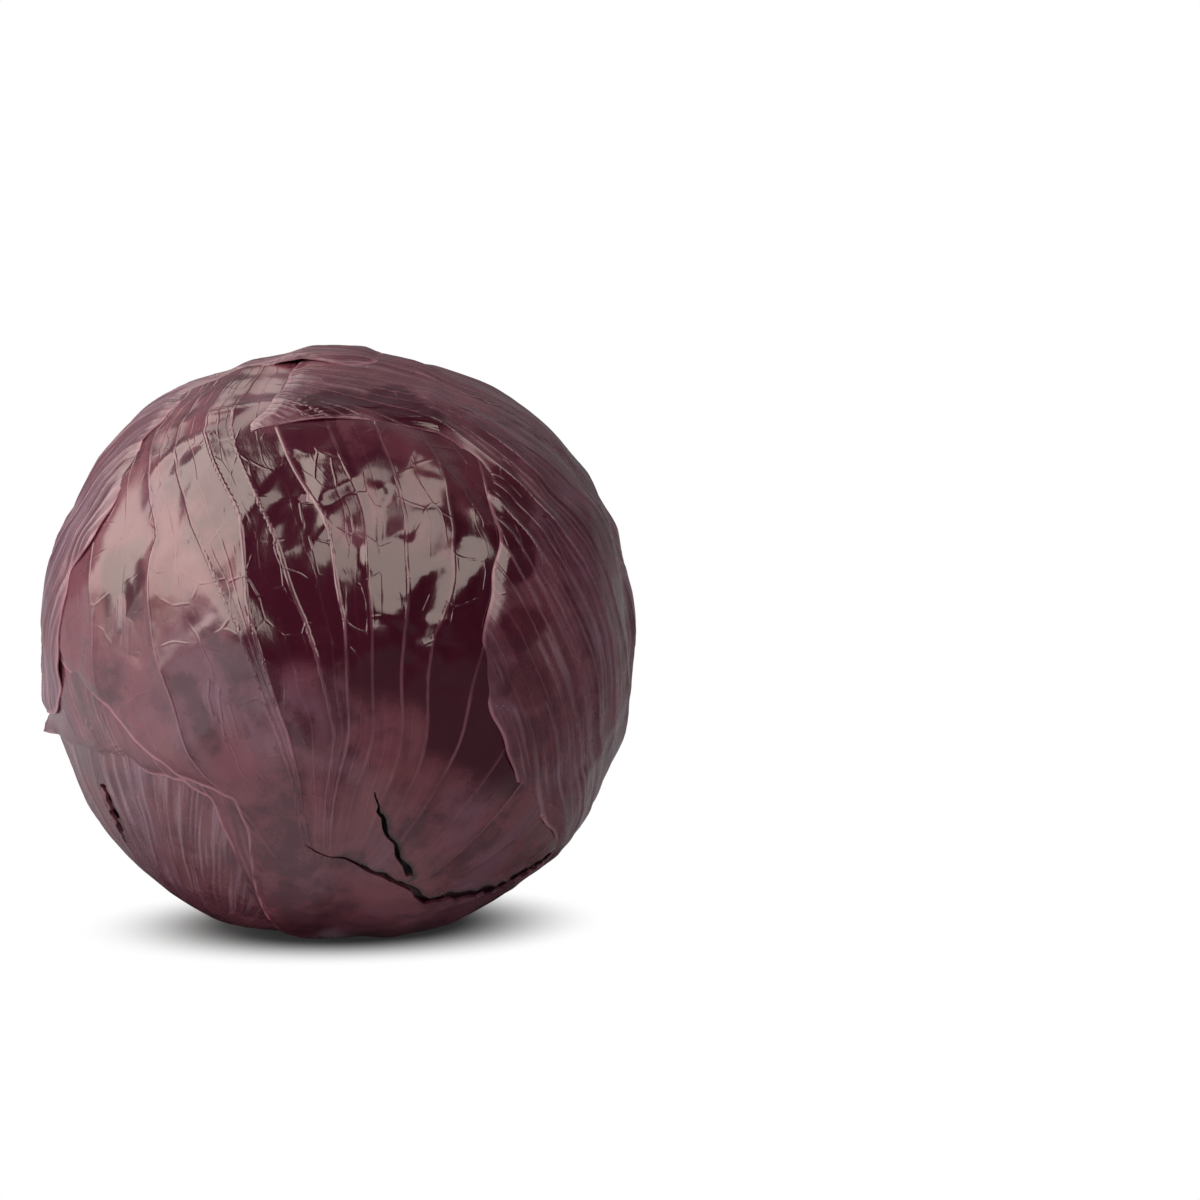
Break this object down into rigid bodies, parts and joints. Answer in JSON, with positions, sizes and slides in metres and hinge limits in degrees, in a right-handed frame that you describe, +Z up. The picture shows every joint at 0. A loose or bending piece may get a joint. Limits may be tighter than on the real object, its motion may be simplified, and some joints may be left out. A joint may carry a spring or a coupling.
{
  "type": "red cabbage",
  "caption": "Whole head of red cabbage, round and tightly wrapped in glossy dark purple veined leaves, standing on its flat cut stem.",
  "frame": {"origin": "middle of the stem's flat cut face, on the surface that the head stands on", "axes": "+Z up through the head, -Y towards the front leaf, +X to the right of it"},
  "size_m": [0.159, 0.1573, 0.1586],
  "materials": {
    "wrapper_leaf": "waxy, glossy, dark maroon with paler veins",
    "heart_leaf": "satin purple",
    "stem_flesh": "matt, fibrous, cream with a browned edge"
  },
  "bodies": {
    "root": {"stem": "stem_flesh", "packed_heart": "heart_leaf", "inner_back_leaf": "wrapper_leaf", "inner_left_leaf": "wrapper_leaf", "inner_right_leaf": "wrapper_leaf", "lower_back_left_leaf": "wrapper_leaf", "lower_back_right_leaf": "wrapper_leaf", "lower_right_leaf": "wrapper_leaf", "lower_left_leaf": "wrapper_leaf", "pointed_leaf": "wrapper_leaf", "back_leaf": "wrapper_leaf", "front_leaf": "wrapper_leaf", "right_leaf": "wrapper_leaf", "left_leaf": "wrapper_leaf"}
  },
  "joints": []
}
